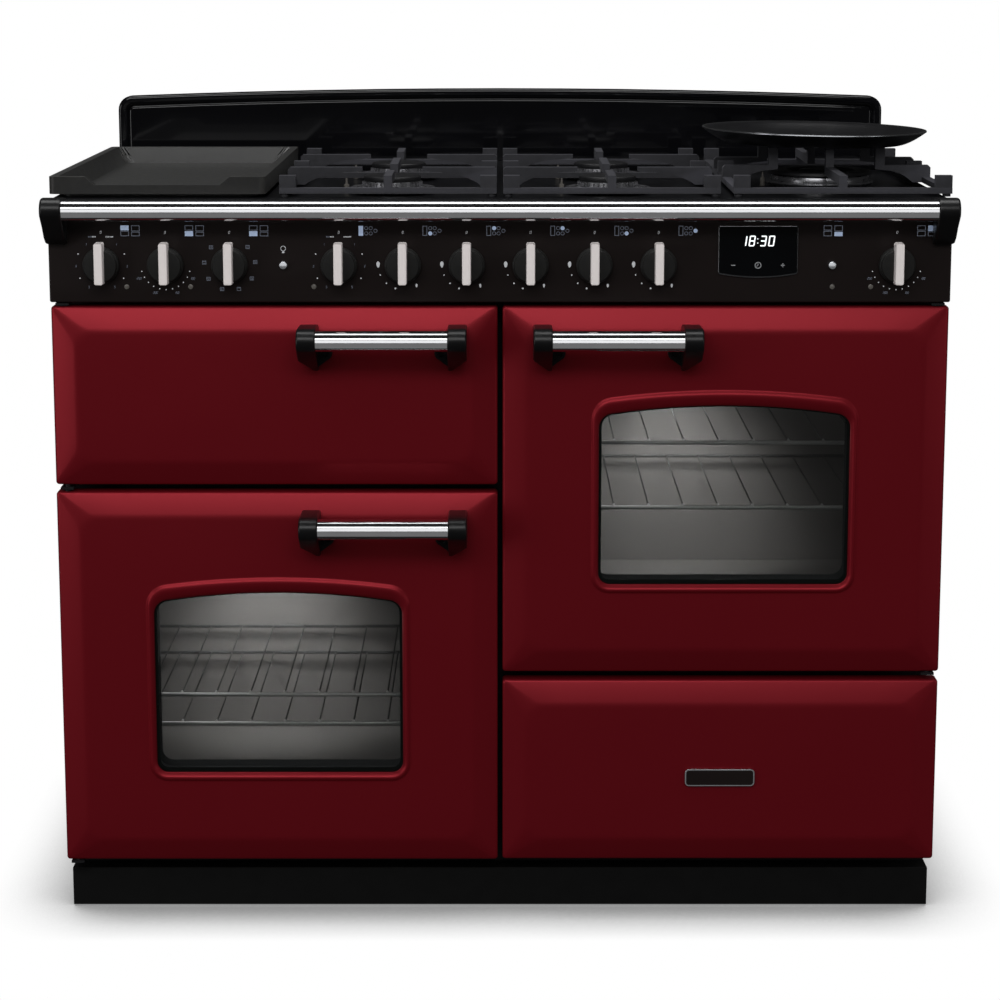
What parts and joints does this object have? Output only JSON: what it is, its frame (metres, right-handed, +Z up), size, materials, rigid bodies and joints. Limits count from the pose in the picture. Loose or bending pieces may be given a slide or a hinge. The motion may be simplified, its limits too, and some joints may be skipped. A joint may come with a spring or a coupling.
{
  "type": "freestanding gas range",
  "caption": "Wide freestanding range cooker with a gas hob, griddle, wok burner, side-hung grill and oven doors and a storage drawer.",
  "frame": {"origin": "on the floor under the middle of the whole outline", "axes": "+X to the right as seen from the front, +Y from front to back, +Z up"},
  "size_m": [1.101, 0.6749, 1.008],
  "materials": {
    "galvanised_steel": "satin zinc coating",
    "black_enamel": "gloss enamel",
    "rubber_feet": "matt",
    "brass_fittings": "plain",
    "ceramic_glass": "polished black ceramic",
    "burner_alloy": "satin",
    "burner_cap_enamel": "matt enamel",
    "panel_black": "gloss",
    "lens_plastic": "clear tinted",
    "chrome": "polished",
    "bracket_black": "satin",
    "oven_enamel": "gloss speckled enamel",
    "heating_rod": "heat-darkened",
    "seal_rubber": "woven over silicone",
    "fan_steel": "plain",
    "cast_iron": "matt cast",
    "griddle_coating": "non-stick coated casting",
    "red_enamel": "gloss vitreous enamel",
    "door_inner_enamel": "satin",
    "door_glass": "clear toughened",
    "badge_metal": "satin with bright border",
    "knob_black": "satin with metal grip insert"
  },
  "bodies": {
    "range_body": {"base_frame": "galvanised_steel", "side_panels": "black_enamel", "back_panel": "galvanised_steel", "plinth": "black_enamel", "front_frame": "black_enamel", "levelling_feet": "rubber_feet", "rear_fittings": "brass_fittings", "hob_tray": "black_enamel", "splashback": "black_enamel", "ceramic_zone": "ceramic_glass", "burner_bases": "burner_alloy", "burner_caps": "burner_cap_enamel", "gas_rail": "brass_fittings", "control_panel": "panel_black", "clock_display": "panel_black", "indicator_lenses": "lens_plastic", "handrail": "chrome", "handrail_brackets": "bracket_black", "left_oven_liner": "oven_enamel", "right_oven_liner": "oven_enamel", "grill_liner": "oven_enamel", "oven_shelves": "chrome", "grill_pan": "oven_enamel", "grill_element": "heating_rod", "door_seals": "seal_rubber", "hinge_brackets": "galvanised_steel", "drawer_runners": "galvanised_steel"},
    "grill_door": {"grill_door_panel": "red_enamel", "grill_door_liner": "door_inner_enamel", "grill_door_handle": "chrome"},
    "left_oven_door": {"left_door_panel": "red_enamel", "left_door_liner": "door_inner_enamel", "left_door_glass": "door_glass", "left_door_handle": "chrome"},
    "right_oven_door": {"right_door_panel": "red_enamel", "right_door_liner": "door_inner_enamel", "right_door_glass": "door_glass", "right_door_handle": "chrome"},
    "drawer": {"drawer_front": "red_enamel", "drawer_box": "galvanised_steel", "badge": "badge_metal"},
    "fan_left": {"oven_fan_left": "fan_steel"},
    "fan_right": {"oven_fan_right": "fan_steel"},
    "support_left": {"trivet_left": "cast_iron"},
    "support_centre": {"trivet_centre": "cast_iron"},
    "support_right": {"trivet_right": "cast_iron"},
    "griddle": {"griddle": "griddle_coating"},
    "wok": {"wok": "cast_iron"},
    "knob_grill": {"knob_grill": "knob_black"},
    "knob_left_oven": {"knob_left_oven": "knob_black"},
    "knob_left_function": {"knob_left_function": "knob_black"},
    "knob_griddle_zone": {"knob_griddle_zone": "knob_black"},
    "knob_gas_front_left": {"knob_gas_front_left": "knob_black"},
    "knob_gas_rear_left": {"knob_gas_rear_left": "knob_black"},
    "knob_gas_rear_centre": {"knob_gas_rear_centre": "knob_black"},
    "knob_gas_front_centre": {"knob_gas_front_centre": "knob_black"},
    "knob_gas_wok": {"knob_gas_wok": "knob_black"},
    "knob_right_oven": {"knob_right_oven": "knob_black"},
    "button_light": {"button_light": "chrome"},
    "button_timer": {"button_timer": "chrome"}
  },
  "joints": [
    {"name": "grill_door_hinge", "type": "hinge", "parent": "range_body", "child": "grill_door", "pos_m": [-0.532, -0.2555, 0.5525], "axis": [0, 0, -1], "range_deg": [0, 105]},
    {"name": "left_oven_door_hinge", "type": "hinge", "parent": "range_body", "child": "left_oven_door", "pos_m": [-0.532, -0.2555, 0.07], "axis": [0, 0, -1], "range_deg": [0, 105]},
    {"name": "right_oven_door_hinge", "type": "hinge", "parent": "range_body", "child": "right_oven_door", "pos_m": [0.532, -0.2555, 0.315], "axis": [0, 0, 1], "range_deg": [0, 105]},
    {"name": "drawer_slide", "type": "slide", "parent": "range_body", "child": "drawer", "axis": [0, -1, 0], "range_m": [0, 0.36]},
    {"name": "fan_left_spin", "type": "hinge", "parent": "range_body", "child": "fan_left", "pos_m": [-0.2745, 0.1925, 0.307], "axis": [0, 1, 0], "continuous": true},
    {"name": "fan_right_spin", "type": "hinge", "parent": "range_body", "child": "fan_right", "pos_m": [0.2745, 0.1925, 0.549], "axis": [0, 1, 0], "continuous": true},
    {"name": "support_left_lift", "type": "slide", "parent": "range_body", "child": "support_left", "axis": [0, 0, 1], "range_m": [0, 0.12]},
    {"name": "support_centre_lift", "type": "slide", "parent": "range_body", "child": "support_centre", "axis": [0, 0, 1], "range_m": [0, 0.03]},
    {"name": "support_right_lift", "type": "slide", "parent": "range_body", "child": "support_right", "axis": [0, 0, 1], "range_m": [0, 0.12]},
    {"name": "griddle_lift", "type": "slide", "parent": "range_body", "child": "griddle", "axis": [0, 0, 1], "range_m": [0, 0.12]},
    {"name": "wok_lift", "type": "slide", "parent": "support_right", "child": "wok", "axis": [0, 0, 1], "range_m": [0, 0.12]},
    {"name": "knob_grill_turn", "type": "hinge", "parent": "range_body", "child": "knob_grill", "pos_m": [-0.482, -0.2665, 0.825], "axis": [0, 1, 0], "range_deg": [-150, 150]},
    {"name": "knob_left_oven_turn", "type": "hinge", "parent": "range_body", "child": "knob_left_oven", "pos_m": [-0.4044, -0.2665, 0.825], "axis": [0, 1, 0], "range_deg": [0, 255]},
    {"name": "knob_left_function_turn", "type": "hinge", "parent": "range_body", "child": "knob_left_function", "pos_m": [-0.3268, -0.2665, 0.825], "axis": [0, 1, 0], "range_deg": [0, 315]},
    {"name": "knob_griddle_zone_turn", "type": "hinge", "parent": "range_body", "child": "knob_griddle_zone", "pos_m": [-0.1947, -0.2665, 0.825], "axis": [0, 1, 0], "range_deg": [-150, 150]},
    {"name": "knob_gas_front_left_turn", "type": "hinge", "parent": "range_body", "child": "knob_gas_front_left", "pos_m": [-0.1174, -0.2665, 0.825], "axis": [0, -1, 0], "range_deg": [0, 215]},
    {"name": "knob_gas_rear_left_turn", "type": "hinge", "parent": "range_body", "child": "knob_gas_rear_left", "pos_m": [-0.0403, -0.2665, 0.825], "axis": [0, -1, 0], "range_deg": [0, 215]},
    {"name": "knob_gas_rear_centre_turn", "type": "hinge", "parent": "range_body", "child": "knob_gas_rear_centre", "pos_m": [0.0369, -0.2665, 0.825], "axis": [0, -1, 0], "range_deg": [0, 215]},
    {"name": "knob_gas_front_centre_turn", "type": "hinge", "parent": "range_body", "child": "knob_gas_front_centre", "pos_m": [0.1142, -0.2665, 0.825], "axis": [0, -1, 0], "range_deg": [0, 215]},
    {"name": "knob_gas_wok_turn", "type": "hinge", "parent": "range_body", "child": "knob_gas_wok", "pos_m": [0.1916, -0.2665, 0.825], "axis": [0, -1, 0], "range_deg": [0, 215]},
    {"name": "knob_right_oven_turn", "type": "hinge", "parent": "range_body", "child": "knob_right_oven", "pos_m": [0.4796, -0.2665, 0.825], "axis": [0, 1, 0], "range_deg": [0, 255]},
    {"name": "button_light_press", "type": "slide", "parent": "range_body", "child": "button_light", "axis": [0, 1, 0], "range_m": [0, 0.003], "stiffness_N_per_m": 300, "springref_m": -0.001},
    {"name": "button_timer_press", "type": "slide", "parent": "range_body", "child": "button_timer", "axis": [0, 1, 0], "range_m": [0, 0.003], "stiffness_N_per_m": 300, "springref_m": -0.001}
  ]
}
